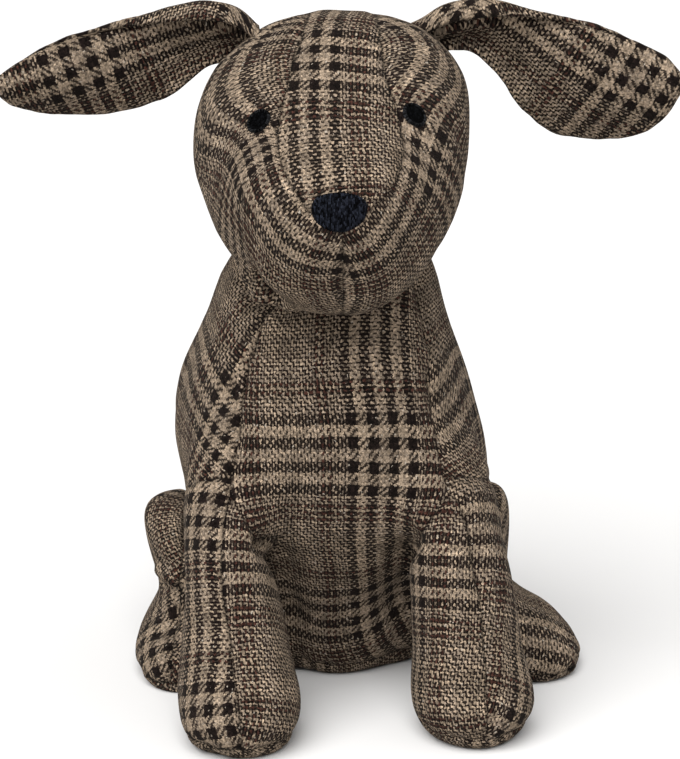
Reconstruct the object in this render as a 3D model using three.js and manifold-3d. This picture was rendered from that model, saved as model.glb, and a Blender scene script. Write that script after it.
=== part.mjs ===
// Sitting dog doorstop, sewn from woven check cloth and filled: a broad body, a round head with a
// blunt muzzle, two ears that stand out sideways, two front legs, two hind legs, and an
// embroidered nose and eyes. Millimetres, +Z up; the dog faces -Y and +X is on the viewer's
// right. The origin is at the middle of the flat underside of the body.

import * as THREE from "three";
import { mergeVertices } from "three/addons/utils/BufferGeometryUtils.js";
import Module from "manifold-3d";

// Driving dimensions. The height, width and depth of each filled piece are in its rows below.
const GAP = 0.3; // air left between two pieces that are sewn together
const HEAD_LEAN_FROM = 220; // above this height the head leans over to +X,
const HEAD_LEAN = 0.11; // by this much for each millimetre of height
const EAR_THICK = 5; // two layers of cloth with a thin filling
const EAR_EDGE = 0.08; // thickness along the sewn edge of an ear, as a share of that
const EAR_SWELL = 1.6; // how soon the ear reaches its full thickness away from the edge
const EAR_ROLL_TURN = 0.9 * Math.PI; // how far round the rolled top edge of an ear turns
const TRIM_LIFT = 1.5; // how far the embroidered nose and eyes stand off the cloth
const EYE_WIDE = 10.4;
const EYE_TALL = 9.8;
const EYE_LEAN = 0.35; // both eyes lean outwards at their lower end
const NOSE_WIDE = 23;
const NOSE_TALL = 14.2;
const NOSE_SQUARE = 2.3; // how square the nose outline is
const NOSE_MIDDLE = 0.86; // its half width halfway up, as a share of that at the top

// How finely the skins are divided, and how the embroidery is cut out.
const BODY_SIDES = 48;
const LEG_SIDES = 28;
const EAR_SIDES = 28;
const TRIM_SIDES = 28;
const STEPS = 2; // sections laid between one row and the next, the row's own included
const FAR_FRONT = -300; // a y well in front of the face
const CUT_REACH = 9; // how far an embroidery outline cuts, in front of and behind the skin

// Rows are read by column name.
function table(columns, rows) {
  const names = columns.split(" ");
  return rows.map((row) => Object.fromEntries(names.map((name, i) => [name, row[i]])));
}

// Body, in level sections from the flat base to the neck: the middle x, the half width, the
// foremost and rearmost y, the y where it is widest, and how square the section is.
const TORSO_ROWS = table("z x half front back wide square", [
  [0, -6, 42, -33, 32, -1, 2],
  [3, -6, 49, -38.5, 41, 2, 2],
  [14, -4, 56, -46, 50, 2, 2.1],
  [35, -1.5, 59.2, -56, 54, 0, 2.4],
  [58, 0.4, 58.8, -72, 52, -2, 2.8],
  [78, 0.9, 59.6, -83, 45, -5, 2.9],
  [98, -2.6, 60.9, -87, 36, -9, 2.7],
  [118, -4.1, 57.2, -87, 26, -15, 2.4],
  [138, -4.1, 50.4, -84, 15, -22, 2.3],
  [155, -3.2, 44.4, -78, 4, -29, 2.2],
  [168, -2.2, 40.2, -72, -4, -34, 2.1],
  [180, -1.5, 33, -65, -13, -37, 2],
  [188, -1.5, 22, -56, -22, -38, 2],
]);

// Head, in upright sections from the nose to the back of the skull: the middle x and z, the half
// width, the height above and below that middle, and how square the section is above and below.
const HEAD_ROWS = table("y x z half up down crown square", [
  [-128.5, 2, 204, 4, 4, 4, 2, 2],
  [-126.6, 2, 204, 11.5, 9.5, 11, 2, 2],
  [-123.5, 2, 204, 18, 14.5, 18, 2.1, 2.1],
  [-117.5, 1.5, 204, 25.5, 21, 27.5, 2.1, 2.1],
  [-108, 1, 205, 33, 26, 38, 2.1, 2.1],
  [-96, 0, 207, 40, 33, 44, 2.15, 2.1],
  [-82, -0.8, 211, 46, 43, 48, 2.2, 2.1],
  [-66, -1.4, 217, 50.8, 49.5, 50, 2.3, 2.05],
  [-48, -1.6, 220, 52.5, 48.7, 48, 2.35, 2],
  [-30, -1.6, 221, 50, 45.5, 46, 2.3, 2],
  [-14, -1.6, 221, 43, 38.5, 41, 2.2, 2],
  [-2, -1.6, 221, 32, 28.5, 31, 2.1, 2],
  [5, -1.6, 221, 19, 17, 18, 2, 2],
  [7.5, -1.6, 221, 8, 7, 8, 2, 2],
]);

// Front legs, in level sections from the sole to the shoulder.
const FRONT_LEFT_ROWS = table("z x half front back wide square", [
  [0, -36, 17, -123, -84, -103, 2],
  [3, -36.2, 21, -129.6, -78, -103, 2.1],
  [10, -36.1, 23.2, -133.5, -74, -103, 2.2],
  [20, -36.6, 22.9, -131, -71, -100, 2.3],
  [31, -37.8, 20.6, -122.5, -69, -95, 2.3],
  [46, -38.4, 18, -114, -66, -89, 2.2],
  [60, -39.7, 16.8, -108, -60, -84, 2.2],
  [75, -40, 17.4, -101, -48, -74, 2.3],
  [90, -38.6, 19, -91, -36, -62, 2.4],
  [106, -36.5, 19, -81, -28, -54, 2.3],
  [119, -33, 14, -68, -26, -46, 2.1],
]);
const FRONT_RIGHT_ROWS = table("z x half front back wide square", [
  [0, 52.8, 15.4, -113, -76, -95, 2],
  [3, 52.8, 19.8, -119, -71, -95, 2],
  [10, 53, 22.9, -122.7, -68, -95, 2.1],
  [20, 52.2, 22.9, -121, -66, -93, 2.2],
  [31, 50.8, 20.9, -116, -64, -90, 2.3],
  [46, 48.7, 20, -111, -62, -86, 2.2],
  [60, 47.5, 19, -106, -58, -82, 2.2],
  [75, 44.8, 19.2, -100, -48, -74, 2.3],
  [90, 40.6, 19.6, -90, -36, -62, 2.4],
  [106, 34.5, 18, -80, -28, -54, 2.3],
  [118, 29, 13, -67, -26, -46, 2.1],
]);

// Hind legs, in level sections: the foot lies forward, then a pinched ankle, then the thigh.
const HIND_LEFT_ROWS = table("z x half front back wide square", [
  [0, -60, 17, -56, 12, -24, 2.2],
  [3, -61, 19.8, -59.5, 16, -23, 2.3],
  [10, -61, 20, -60, 19, -20, 2.3],
  [18, -60, 16.8, -55, 22, -16, 2.3],
  [26, -58, 14, -43, 26, -10, 2.2],
  [35, -57, 15.4, -39, 29, -6, 2.2],
  [46, -57, 18.4, -37, 29, -4, 2.3],
  [55, -57.2, 20.6, -32, 26, -3, 2.4],
  [61.5, -57, 20, -24, 19, -3, 2.4],
  [64.6, -57, 15, -15, 10, -3, 2.2],
]);
const HIND_RIGHT_ROWS = table("z x half front back wide square", [
  [0, 76, 19, -46, 6, -24, 2.2],
  [3, 77, 22.8, -49.5, 10, -23, 2.3],
  [10, 75.5, 23.8, -50, 13, -21, 2.3],
  [18, 68, 21.5, -45, 18, -18, 2.2],
  [26, 58.5, 15, -38, 25, -11, 2.2],
  [35, 54.5, 15.6, -37, 29, -6, 2.2],
  [46, 53, 17.6, -35, 29, -4, 2.3],
  [57, 52.5, 18.6, -30, 26, -3, 2.4],
  [66, 51.5, 18.4, -22, 19, -3, 2.4],
  [70.3, 51, 12.5, -14, 10, -3, 2.2],
]);

// Ears, in upright sections from the root inside the head to the tip: the lowest and highest z,
// the y of the flap, how far the flap is hollowed, and the radius of the roll along the top edge.
const EAR_LEFT_ROWS = table("x low high y bow roll", [
  [-28, 248.4, 260.9, -38, 0, 6],
  [-38, 248.4, 268.4, -37, 1, 6.5],
  [-48, 245.9, 270.1, -36, 3, 6.5],
  [-60, 236.8, 268.4, -36, 5, 5],
  [-70, 232.2, 265.7, -37, 5, 2.8],
  [-84, 228.5, 262.3, -38, 4, 1.2],
  [-97, 227.9, 258.9, -39, 4, 0.8],
  [-108, 228.4, 254.8, -40, 3, 0.5],
  [-118, 230.6, 249.7, -41, 2, 0.2],
  [-125, 233.6, 245.2, -41, 1, 0.1],
  [-128.5, 237.4, 242, -41, 0.5, 0.1],
  [-129.7, 239, 240.8, -41, 0.2, 0.1],
]);
const EAR_RIGHT_ROWS = table("x low high y bow roll", [
  [28, 248, 260.9, -38, 0, 6],
  [40, 252, 268.1, -37, 1, 6.5],
  [52, 251.5, 270.9, -36, 3, 6.5],
  [62, 243, 270.2, -36, 5, 5],
  [72, 229.6, 268.3, -37, 5, 2.8],
  [84, 220.4, 265.7, -38, 4, 1.2],
  [96, 218.2, 262.8, -39, 4, 0.8],
  [108, 218.3, 259, -40, 3, 0.5],
  [118, 221.4, 254.9, -41, 2, 0.2],
  [126, 228, 250.3, -41, 1, 0.1],
  [131, 236, 245, -41, 0.5, 0.1],
  [132.4, 239, 242, -41, 0.2, 0.1],
]);

// Where each embroidered piece sits on the head, seen from the front, and which way it leans.
const TRIM_ROWS = table("x z wide tall lean", [
  [-27.4, 235.2, EYE_WIDE, EYE_TALL, -EYE_LEAN],
  [29.2, 237.4, EYE_WIDE, EYE_TALL, EYE_LEAN],
  [1.9, 209.6, NOSE_WIDE, NOSE_TALL, 0],
]);

// Colours of the cloth and of the embroidery thread.
const CLOTH = { color: 0x75685a, roughness: 0.95, metalness: 0 };
const THREAD = { color: 0x10131c, roughness: 0.6, metalness: 0 };

// Rows laid in between the given ones, on a smooth curve through every column.
function between(rows, steps) {
  const out = [];
  const at = (i) => rows[Math.min(rows.length - 1, Math.max(0, i))];
  for (let i = 0; i < rows.length - 1; i++) {
    for (let k = 0; k < steps; k++) {
      const t = k / steps;
      const row = {};
      for (const name of Object.keys(rows[0])) {
        const [a, b, c, d] = [at(i - 1)[name], at(i)[name], at(i + 1)[name], at(i + 2)[name]];
        const bend = (2 * a - 5 * b + 4 * c - d) * t * t + (3 * b - a - 3 * c + d) * t * t * t;
        row[name] = b + 0.5 * ((c - a) * t + bend);
      }
      out.push(row);
    }
  }
  out.push({ ...rows[rows.length - 1] });
  return out;
}

const sharpen = (value, square) => Math.sign(value) * Math.abs(value) ** (2 / square);

// One level section: a rounded outline, deeper or shallower to the front than to the back.
function levelRing(row, sides) {
  return Array.from({ length: sides }, (_, i) => {
    const turn = (2 * Math.PI * i) / sides;
    const side = sharpen(Math.cos(turn), row.square);
    const depth = sharpen(Math.sin(turn), row.square);
    const reach = depth < 0 ? row.wide - row.front : row.back - row.wide;
    return new THREE.Vector3(row.x + row.half * side, row.wide + reach * depth, row.z);
  });
}

// One upright section of the head, across the line from the nose to the back of the skull.
function headRing(row, sides) {
  return Array.from({ length: sides }, (_, i) => {
    const turn = (2 * Math.PI * i) / sides;
    const square = turn < Math.PI ? row.crown : row.square;
    const side = sharpen(Math.cos(turn), square);
    const rise = sharpen(Math.sin(turn), square);
    const reach = rise < 0 ? row.down : row.up;
    const z = row.z + reach * rise;
    const lean = HEAD_LEAN * Math.max(0, z - HEAD_LEAN_FROM);
    return new THREE.Vector3(row.x + row.half * side + lean, row.y, z);
  });
}

// One upright section of an ear: the flap rises from its lower edge, hollowed in the middle, and
// its top edge rolls over towards the front. The line has thickness, with round edges.
function earRing(row, sides) {
  const half = sides / 2;
  const lift = row.high - row.low - row.roll;
  const line = (s) => {
    const run = s * (lift + row.roll * EAR_ROLL_TURN);
    if (run < lift) {
      const u = run / lift;
      return [row.y + row.bow * Math.sin(Math.PI * u), row.low + run];
    }
    const turn = (run - lift) / row.roll;
    const y = row.y - row.roll * (1 - Math.cos(turn));
    return [y, row.low + lift + row.roll * Math.sin(turn)];
  };
  const points = [];
  for (let i = 0; i < sides; i++) {
    const front = i < half;
    const s = front ? i / half : (sides - i) / half;
    const [y, z] = line(s);
    const [yNext, zNext] = line(Math.min(1, s + 0.01));
    const [yLast, zLast] = line(Math.max(0, s - 0.01));
    const along = new THREE.Vector2(yNext - yLast, zNext - zLast).normalize();
    const thick = (EAR_THICK / 2) * Math.min(1, EAR_EDGE + EAR_SWELL * Math.sqrt(s * (1 - s)));
    const off = front ? -thick : thick;
    points.push(new THREE.Vector3(row.x, y + off * along.y, z - off * along.x));
  }
  return points;
}

// Six times the volume inside a closed skin, negative where its faces point inwards.
function sixVolumes(points, index) {
  let sum = 0;
  for (let i = 0; i < index.length; i += 3) {
    const across = points[index[i + 1]].clone().cross(points[index[i + 2]]);
    sum += points[index[i]].dot(across);
  }
  return sum;
}

// A closed skin over a run of rings, with each end ring closed to its middle, facing outwards.
function skin(rings) {
  const sides = rings[0].length;
  const middle = (ring) => ring.reduce((sum, p) => sum.add(p), new THREE.Vector3()).divideScalar(sides);
  const points = [middle(rings[0]), ...rings.flat(), middle(rings[rings.length - 1])];
  const last = points.length - 1;
  const index = [];
  for (let i = 0; i < sides; i++) {
    const j = (i + 1) % sides;
    index.push(0, 1 + j, 1 + i);
    for (let r = 0; r < rings.length - 1; r++) {
      const a = 1 + r * sides;
      const b = a + sides;
      index.push(a + i, a + j, b + j, a + i, b + j, b + i);
    }
    index.push(last, last - sides + i, last - sides + j);
  }
  if (sixVolumes(points, index) < 0) index.reverse();
  return new THREE.BufferGeometry().setFromPoints(points).setIndex(index);
}

const wasm = await Module();
wasm.setup();

// A closed mesh as a solid that can be joined and cut.
function solid(geometry) {
  const merged = mergeVertices(geometry, 1e-4);
  const triVerts = new Uint32Array(merged.index.array);
  const vertProperties = merged.attributes.position.array;
  return new wasm.Manifold(new wasm.Mesh({ numProp: 3, vertProperties, triVerts }));
}

// The same skin with every point pushed out along the surface's own direction.
function grown(geometry, by) {
  const copy = geometry.clone();
  copy.computeVertexNormals();
  const point = new THREE.Vector3();
  const facing = new THREE.Vector3();
  for (let i = 0; i < copy.attributes.position.count; i++) {
    point.fromBufferAttribute(copy.attributes.position, i);
    facing.fromBufferAttribute(copy.attributes.normal, i);
    point.addScaledVector(facing, by);
    copy.attributes.position.setXYZ(i, point.x, point.y, point.z);
  }
  return copy.deleteAttribute("normal");
}

const torsoSkin = skin(between(TORSO_ROWS, STEPS).map((row) => levelRing(row, BODY_SIDES)));
const headSkin = skin(between(HEAD_ROWS, STEPS).map((row) => headRing(row, BODY_SIDES)));
const torsoClear = solid(grown(torsoSkin, GAP));
const headClear = solid(grown(headSkin, GAP));

const group = new THREE.Group();

// Puts a finished solid into the group as a named mesh.
function add(name, made, look) {
  const { vertProperties, triVerts } = made.getMesh();
  const geometry = new THREE.BufferGeometry();
  geometry.setAttribute("position", new THREE.BufferAttribute(new Float32Array(vertProperties), 3));
  geometry.setIndex(new THREE.BufferAttribute(new Uint32Array(triVerts), 1));
  geometry.computeVertexNormals();
  const mesh = new THREE.Mesh(geometry, new THREE.MeshStandardMaterial(look));
  mesh.name = name;
  group.add(mesh);
}

add("torso", solid(torsoSkin), CLOTH);
add("head", solid(headSkin).subtract(torsoClear), CLOTH);
for (const [name, rows] of [
  ["front_leg_left", FRONT_LEFT_ROWS],
  ["front_leg_right", FRONT_RIGHT_ROWS],
  ["hind_leg_left", HIND_LEFT_ROWS],
  ["hind_leg_right", HIND_RIGHT_ROWS],
]) {
  const leg = solid(skin(between(rows, STEPS).map((row) => levelRing(row, LEG_SIDES))));
  add(name, leg.subtract(torsoClear), CLOTH);
}
for (const [name, rows] of [
  ["ear_left", EAR_LEFT_ROWS],
  ["ear_right", EAR_RIGHT_ROWS],
]) {
  const ear = solid(skin(between(rows, STEPS).map((row) => earRing(row, EAR_SIDES))));
  add(name, ear.subtract(headClear), CLOTH);
}

// Outline of an eye: an oval.
function eyeOutline(row) {
  const shape = new THREE.Shape();
  return shape.absellipse(0, 0, row.wide / 2, row.tall / 2, 0, 2 * Math.PI, false, row.lean);
}

// Outline of the nose: an oval, squared a little, and narrower towards its lower edge.
function noseOutline(row) {
  const points = Array.from({ length: TRIM_SIDES }, (_, i) => {
    const turn = (2 * Math.PI * i) / TRIM_SIDES;
    const rise = sharpen(Math.sin(turn), NOSE_SQUARE);
    const half = (row.wide / 2) * (NOSE_MIDDLE + (1 - NOSE_MIDDLE) * rise);
    return new THREE.Vector2(half * sharpen(Math.cos(turn), NOSE_SQUARE), (row.tall / 2) * rise);
  });
  return new THREE.Shape(points);
}

// A piece of embroidery: the part of a layer just off the head's skin that lies inside an outline
// set square to the skin where it sits.
const headMesh = new THREE.Mesh(headSkin);
const headLifted = solid(grown(headSkin, TRIM_LIFT));
function embroidery(row, outline) {
  const ahead = new THREE.Vector3(row.x, FAR_FRONT, row.z);
  const hit = new THREE.Raycaster(ahead, new THREE.Vector3(0, 1, 0)).intersectObject(headMesh)[0];
  const depth = { depth: 2 * CUT_REACH, bevelEnabled: false, curveSegments: TRIM_SIDES / 2 };
  const cutter = new THREE.ExtrudeGeometry(outline, depth);
  cutter.deleteAttribute("normal").deleteAttribute("uv").translate(0, 0, -CUT_REACH);
  const place = new THREE.Object3D();
  place.up.set(0, 0, 1);
  place.position.copy(hit.point);
  place.lookAt(hit.point.clone().add(hit.face.normal));
  place.updateMatrix();
  cutter.applyMatrix4(place.matrix);
  return solid(cutter).intersect(headLifted).subtract(headClear);
}

add("eye_left", embroidery(TRIM_ROWS[0], eyeOutline(TRIM_ROWS[0])), THREAD);
add("eye_right", embroidery(TRIM_ROWS[1], eyeOutline(TRIM_ROWS[1])), THREAD);
add("nose", embroidery(TRIM_ROWS[2], noseOutline(TRIM_ROWS[2])), THREAD);

export default group;
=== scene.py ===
"""A doorstop sewn as a sitting dog from brown glen check wool, on a pale floor in soft light."""

import bmesh
import bpy
import numpy as np
from mathutils.bvhtree import BVHTree
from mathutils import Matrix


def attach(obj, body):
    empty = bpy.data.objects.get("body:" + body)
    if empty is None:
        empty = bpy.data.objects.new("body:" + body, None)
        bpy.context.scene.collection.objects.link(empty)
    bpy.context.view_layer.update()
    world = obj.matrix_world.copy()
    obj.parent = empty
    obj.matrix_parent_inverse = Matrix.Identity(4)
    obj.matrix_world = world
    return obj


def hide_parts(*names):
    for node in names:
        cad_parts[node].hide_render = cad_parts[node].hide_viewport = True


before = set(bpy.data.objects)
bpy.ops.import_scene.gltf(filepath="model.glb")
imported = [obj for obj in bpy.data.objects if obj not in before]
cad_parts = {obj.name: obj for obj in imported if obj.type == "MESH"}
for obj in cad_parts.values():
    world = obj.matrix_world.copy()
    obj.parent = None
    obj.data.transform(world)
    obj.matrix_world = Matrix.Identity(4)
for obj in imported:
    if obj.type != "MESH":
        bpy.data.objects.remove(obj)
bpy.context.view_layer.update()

# Body, with both front legs
# A bag of wool cloth stuffed firm. A front panel runs from the chin to the belly, each side panel
# meets the other at the back and a panel of its own on the outside of its front leg, and inner leg
# panels, soles and a base close it. All seams are turned in and pulled by the filling.

# Height and x of the seams between the chest and each side, and on down the fronts of the legs.
CHEST_SEAM_LEFT = np.array([
    [0, -34], [12, -34.6], [22, -35.4], [32, -37.6], [43, -39], [58, -42.1], [71, -42.6],
    [84, -41.6], [92, -40], [103, -38.2], [115, -36.6], [125, -35], [139, -33.1], [155, -27.4],
    [170, -22], [185, -18],
])
CHEST_SEAM_RIGHT = np.array([
    [0, 57], [22, 56.9], [33, 56.6], [56, 54.8], [67, 52.2], [75, 51.2], [85, 49.1], [91, 46.1],
    [93, 42.9], [103, 40.1], [116, 37.8], [131, 36.3], [144, 35.6], [155, 33.6], [170, 29],
    [185, 25],
])
# x and height of the slanting seam between the belly and each inner leg panel.
INNER_SEAM_LEFT = np.array([[-40.2, 93.2], [-35.6, 87.2], [-31.9, 82], [-28.1, 76.8], [-25.2, 72.8]])
INNER_SEAM_RIGHT = np.array([[26.9, 67.8], [29.2, 75.7], [34, 81.7], [39.7, 88.7], [44.3, 93.5]])
# y behind which only the two side panels lie, y in front of which the chest seams run, the height
# of the seam round the soles and the base, and x halfway between the front legs.
SIDE_STARTS_Y = -10
CHEST_BACK_Y = -5
SOLE_Z = 5.5
BETWEEN_LEGS_X = 5
# y and height of the seam that closes the top of each leg's outer panel.
LEG_TOP_LEFT = np.array([[-90, 99.5], [-84, 97], [-78, 92], [-52, 84]])
LEG_TOP_RIGHT = np.array([[-86, 98.5], [-80, 97], [-74, 94], [-46, 86]])
# Height up to which a seam parts each leg's outer panel from the side panel behind it.
LEG_SEAM_TOP = 88
# The skin's grid, the width of a warp and of a weft thread, and how far round a mark the cloth
# gives, all in mm, and how stiffly it holds against that.
SKIN_GRID = 4.0
THREAD_ACROSS = 0.62
THREAD_ALONG = 0.735
GIVE_REACH = 26
GIVE_STIFF = 0.2


def surface_of(mesh):
    """A mesh's points in mm and its triangles; a four-cornered face is cut from its first corner."""
    points = np.empty(len(mesh.vertices) * 3)
    mesh.vertices.foreach_get("co", points)
    corners = np.empty(len(mesh.loops), dtype=np.int64)
    mesh.loops.foreach_get("vertex_index", corners)
    first = np.empty(len(mesh.polygons), dtype=np.int64)
    mesh.polygons.foreach_get("loop_start", first)
    count = np.empty(len(mesh.polygons), dtype=np.int64)
    mesh.polygons.foreach_get("loop_total", count)
    one = corners[first[:, None] + [0, 1, 2]]
    four = first[count == 4]
    other = corners[four[:, None] + [0, 2, 3]]
    return 1000 * points.reshape(-1, 3), np.concatenate([one, other])


def normals_of(points, faces):
    """Each point's normal: the sum of its faces' cross products, brought to length one."""
    a, b, c = (points[faces[:, corner], :3] for corner in range(3))
    across = np.cross(b - a, c - a)
    total = np.zeros((len(points), 3))
    for corner in range(3):
        np.add.at(total, faces[:, corner], across)
    return total / np.maximum(np.linalg.norm(total, axis=1), 1e-9)[:, None]


def mesh_of(name, points, faces):
    """A mesh from points in mm and faces."""
    mesh = bpy.data.meshes.new(name)
    mesh.from_pydata((points[:, :3] / 1000).tolist(), [], faces.tolist())
    return mesh


def shown(name, mesh):
    """An object at the origin that shows the mesh."""
    made = bpy.data.objects.new(name, mesh)
    bpy.context.scene.collection.objects.link(made)
    return made


def solid_copy(node):
    """A copy of a CAD solid's surface, its doubles merged: points in mm and triangles."""
    work = bmesh.new()
    work.from_mesh(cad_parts[node].data)
    bmesh.ops.remove_doubles(work, verts=work.verts, dist=1e-6)
    mesh = bpy.data.meshes.new(node + "_copy")
    work.to_mesh(mesh)
    work.free()
    points, faces = surface_of(mesh)
    bpy.data.meshes.remove(mesh)
    return points, faces


def kept(made):
    """Puts the shape that an object's modifiers give into its mesh, and takes the modifiers off."""
    seen = made.evaluated_get(bpy.context.evaluated_depsgraph_get())
    mesh = bpy.data.meshes.new_from_object(seen)
    made.modifiers.clear()
    made.data = mesh
    return made


def one_skin(name, solids, grow):
    """One closed skin round solids: each is grown a little so that they meet, and a grid finds the
    outside of them all again in even faces."""
    points, faces, start = [], [], 0
    for node in solids:
        p, f = solid_copy(node)
        points.append(p + grow * normals_of(p, f))
        faces.append(f + start)
        start += len(p)
    made = shown(name, mesh_of(name, np.concatenate(points), np.concatenate(faces)))
    grid = made.modifiers.new("grid", "REMESH")
    grid.mode = "VOXEL"
    grid.voxel_size = SKIN_GRID / 1000
    return kept(made)


def eased(made, rounds):
    """Evens the skin out: each round moves a point half way to the middle of its neighbours, and
    then half of that back, so that it doesn't shrink."""
    mesh = made.data
    points, _ = surface_of(mesh)
    edges = np.empty(len(mesh.edges) * 2, dtype=np.int64)
    mesh.edges.foreach_get("vertices", edges)
    edges = edges.reshape(-1, 2)
    count = np.bincount(edges.ravel(), minlength=len(points))[:, None]
    for share in [0.5, -0.52] * rounds:
        total = np.zeros_like(points)
        np.add.at(total, edges[:, 0], points[edges[:, 1]])
        np.add.at(total, edges[:, 1], points[edges[:, 0]])
        points = points + share * (total / count - points)
    mesh.vertices.foreach_set("co", (points / 1000).ravel())


def filled(made, held, cap):
    """Blows the skin up with its filling: cloth with pressure and no weight for 20 frames. The
    even part of the swelling is taken off again, and no point moves further than the cap in mm."""
    frames = 20
    before, faces = surface_of(made.data)
    group = made.vertex_groups.new(name="held")
    group.add(np.flatnonzero(held).tolist(), 1.0, "REPLACE")
    cloth = made.modifiers.new("filling", "CLOTH")
    cloth.settings.use_pressure = True
    cloth.settings.uniform_pressure_force = 4
    cloth.settings.effector_weights.gravity = 0
    cloth.settings.vertex_group_mass = "held"
    cloth.settings.mass = 0.2
    cloth.settings.tension_stiffness = 25
    cloth.settings.compression_stiffness = 25
    cloth.settings.bending_stiffness = 2
    cloth.point_cache.frame_start = 1
    cloth.point_cache.frame_end = frames
    scene = bpy.context.scene
    scene.frame_start = 1
    scene.frame_end = frames
    for step in range(1, frames + 1):
        scene.frame_set(step)
    seen = made.evaluated_get(bpy.context.evaluated_depsgraph_get())
    after, _ = surface_of(seen.to_mesh())
    seen.to_mesh_clear()
    made.modifiers.clear()
    made.vertex_groups.clear()
    scene.frame_set(1)
    out = normals_of(before, faces)
    move = after - before
    free = ~held
    swell = (move[free] * out[free]).sum(axis=1).mean()
    move[free] -= swell * out[free]
    length = np.linalg.norm(move, axis=1)[:, None]
    move *= np.minimum(1, cap / np.maximum(length, 1e-6))
    made.data.vertices.foreach_set("co", ((before + move) / 1000).ravel())


def finer(made):
    """One round of subdivision, put into the mesh."""
    fine = made.modifiers.new("fine", "SUBSURF")
    fine.levels = 1
    fine.render_levels = 1
    return kept(made)


def taken(made):
    """The skin's points in mm and its triangles, its object removed."""
    mesh = made.data
    points, faces = surface_of(mesh)
    bpy.data.objects.remove(made)
    bpy.data.meshes.remove(mesh)
    return points, faces


def away_from(points, node):
    """Each point's distance in mm from a CAD solid's surface."""
    p, f = solid_copy(node)
    tree = BVHTree.FromPolygons(p.tolist(), f.tolist())
    return np.array([tree.find_nearest(at)[3] for at in points.tolist()])


def cut_along(table, faces, level, zone):
    """Makes the line where one column of the table is nought run along edges, for the faces in the
    zone. A point within a quarter of an edge slides onto the line, and elsewhere the line gets a
    new point. All the columns of a row are carried along in the same shares."""
    slide = 0.25
    value = table[:, level].copy()
    near = faces[zone]
    pairs = np.sort(near[:, [[0, 1], [1, 2], [2, 0]]].reshape(-1, 2), axis=1)
    pairs = np.unique(pairs, axis=0)
    crossed = pairs[value[pairs[:, 0]] * value[pairs[:, 1]] < 0]
    share = value[crossed[:, 0]] / (value[crossed[:, 0]] - value[crossed[:, 1]])
    table = table.copy()
    start = table.copy()
    for end in (0, 1):
        way = share if end == 0 else 1 - share
        order = np.argsort(-way)
        order = order[way[order] < slide]
        mine, other, part = crossed[order, end], crossed[order, 1 - end], way[order][:, None]
        table[mine] = start[mine] * (1 - part) + start[other] * part
        table[mine, level] = 0
    value = table[:, level]
    crossed = pairs[value[pairs[:, 0]] * value[pairs[:, 1]] < 0]
    if not len(crossed):
        return table, faces
    share = (value[crossed[:, 0]] / (value[crossed[:, 0]] - value[crossed[:, 1]]))[:, None]
    new = table[crossed[:, 0]] * (1 - share) + table[crossed[:, 1]] * share
    new[:, level] = 0
    big = len(table)
    keys = crossed[:, 0] * big + crossed[:, 1]
    sides = np.sort(faces[:, [[0, 1], [1, 2], [2, 0]]], axis=2)
    wanted = sides[..., 0] * big + sides[..., 1]
    place = np.minimum(np.searchsorted(keys, wanted), len(keys) - 1)
    split = np.where(keys[place] == wanted, big + place, -1)
    count = (split >= 0).sum(axis=1)
    made = [faces[count == 0]]

    def turned(rows, first):
        """Each face's corners and its sides' new points, both beginning at the given side."""
        turn = (first[:, None] + [0, 1, 2]) % 3
        at = np.arange(len(turn))[:, None]
        return (*faces[rows][at, turn].T, *split[rows][at, turn].T)

    rows = count == 1
    a, b, c, p, _, _ = turned(rows, np.argmax(split[rows] >= 0, axis=1))
    made += [np.stack([a, p, c], axis=1), np.stack([p, b, c], axis=1)]
    rows = count == 2
    a, b, c, p, q, _ = turned(rows, (np.argmax(split[rows] < 0, axis=1) + 1) % 3)
    made += [np.stack([p, b, q], axis=1), np.stack([a, p, q], axis=1), np.stack([a, q, c], axis=1)]
    rows = count == 3
    a, b, c, p, q, r = turned(rows, np.zeros(rows.sum(), dtype=np.int64))
    made += [np.stack(t, axis=1) for t in ((a, p, r), (p, b, q), (r, q, c), (p, q, r))]
    return np.concatenate([table, new]), np.concatenate(made)


def mean_of(table, faces):
    """The table's row in the middle of each face."""
    return table[faces].mean(axis=1)


def borders(faces, panel):
    """The edges, as sorted pairs of points, between faces of two panels."""
    pairs = np.sort(faces[:, [[0, 1], [1, 2], [2, 0]]].reshape(-1, 2), axis=1)
    owner = np.repeat(panel, 3)
    order = np.lexsort((pairs[:, 1], pairs[:, 0]))
    pairs, owner = pairs[order], owner[order]
    same = (pairs[1:] == pairs[:-1]).all(axis=1)
    return pairs[1:][same & (owner[1:] != owner[:-1])]


def distance_to(points, line):
    """Each point's distance in mm to the nearest of the points of a line, at most 40."""
    most, block = 40, 2000
    found = []
    for start in range(0, len(points), block):
        part = points[start:start + block, None, :] - line[None]
        found.append(np.minimum(most, np.sqrt((part**2).sum(axis=2)).min(axis=1)))
    return np.concatenate(found)


def to_segment(points, start, end):
    """Each point's distance to the straight line between two points."""
    along = end - start
    share = np.clip(((points - start) @ along) / (along @ along), 0, 1)
    return np.linalg.norm(points - start - share[:, None] * along, axis=1)


def lumps(points, seed, size, high):
    """Low uneven filling: a sum of sine waves with seeded directions and lengths round the size."""
    waves, usual_sum = 14, 3.7
    rng = np.random.default_rng(seed)
    total = np.zeros(len(points))
    for _ in range(waves):
        way = rng.normal(size=3)
        way *= 2 * np.pi / (size * rng.uniform(0.6, 1.7)) / np.linalg.norm(way)
        total += np.sin(points @ way + rng.uniform(0, 6.28))
    return high * total / usual_sum


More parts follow.
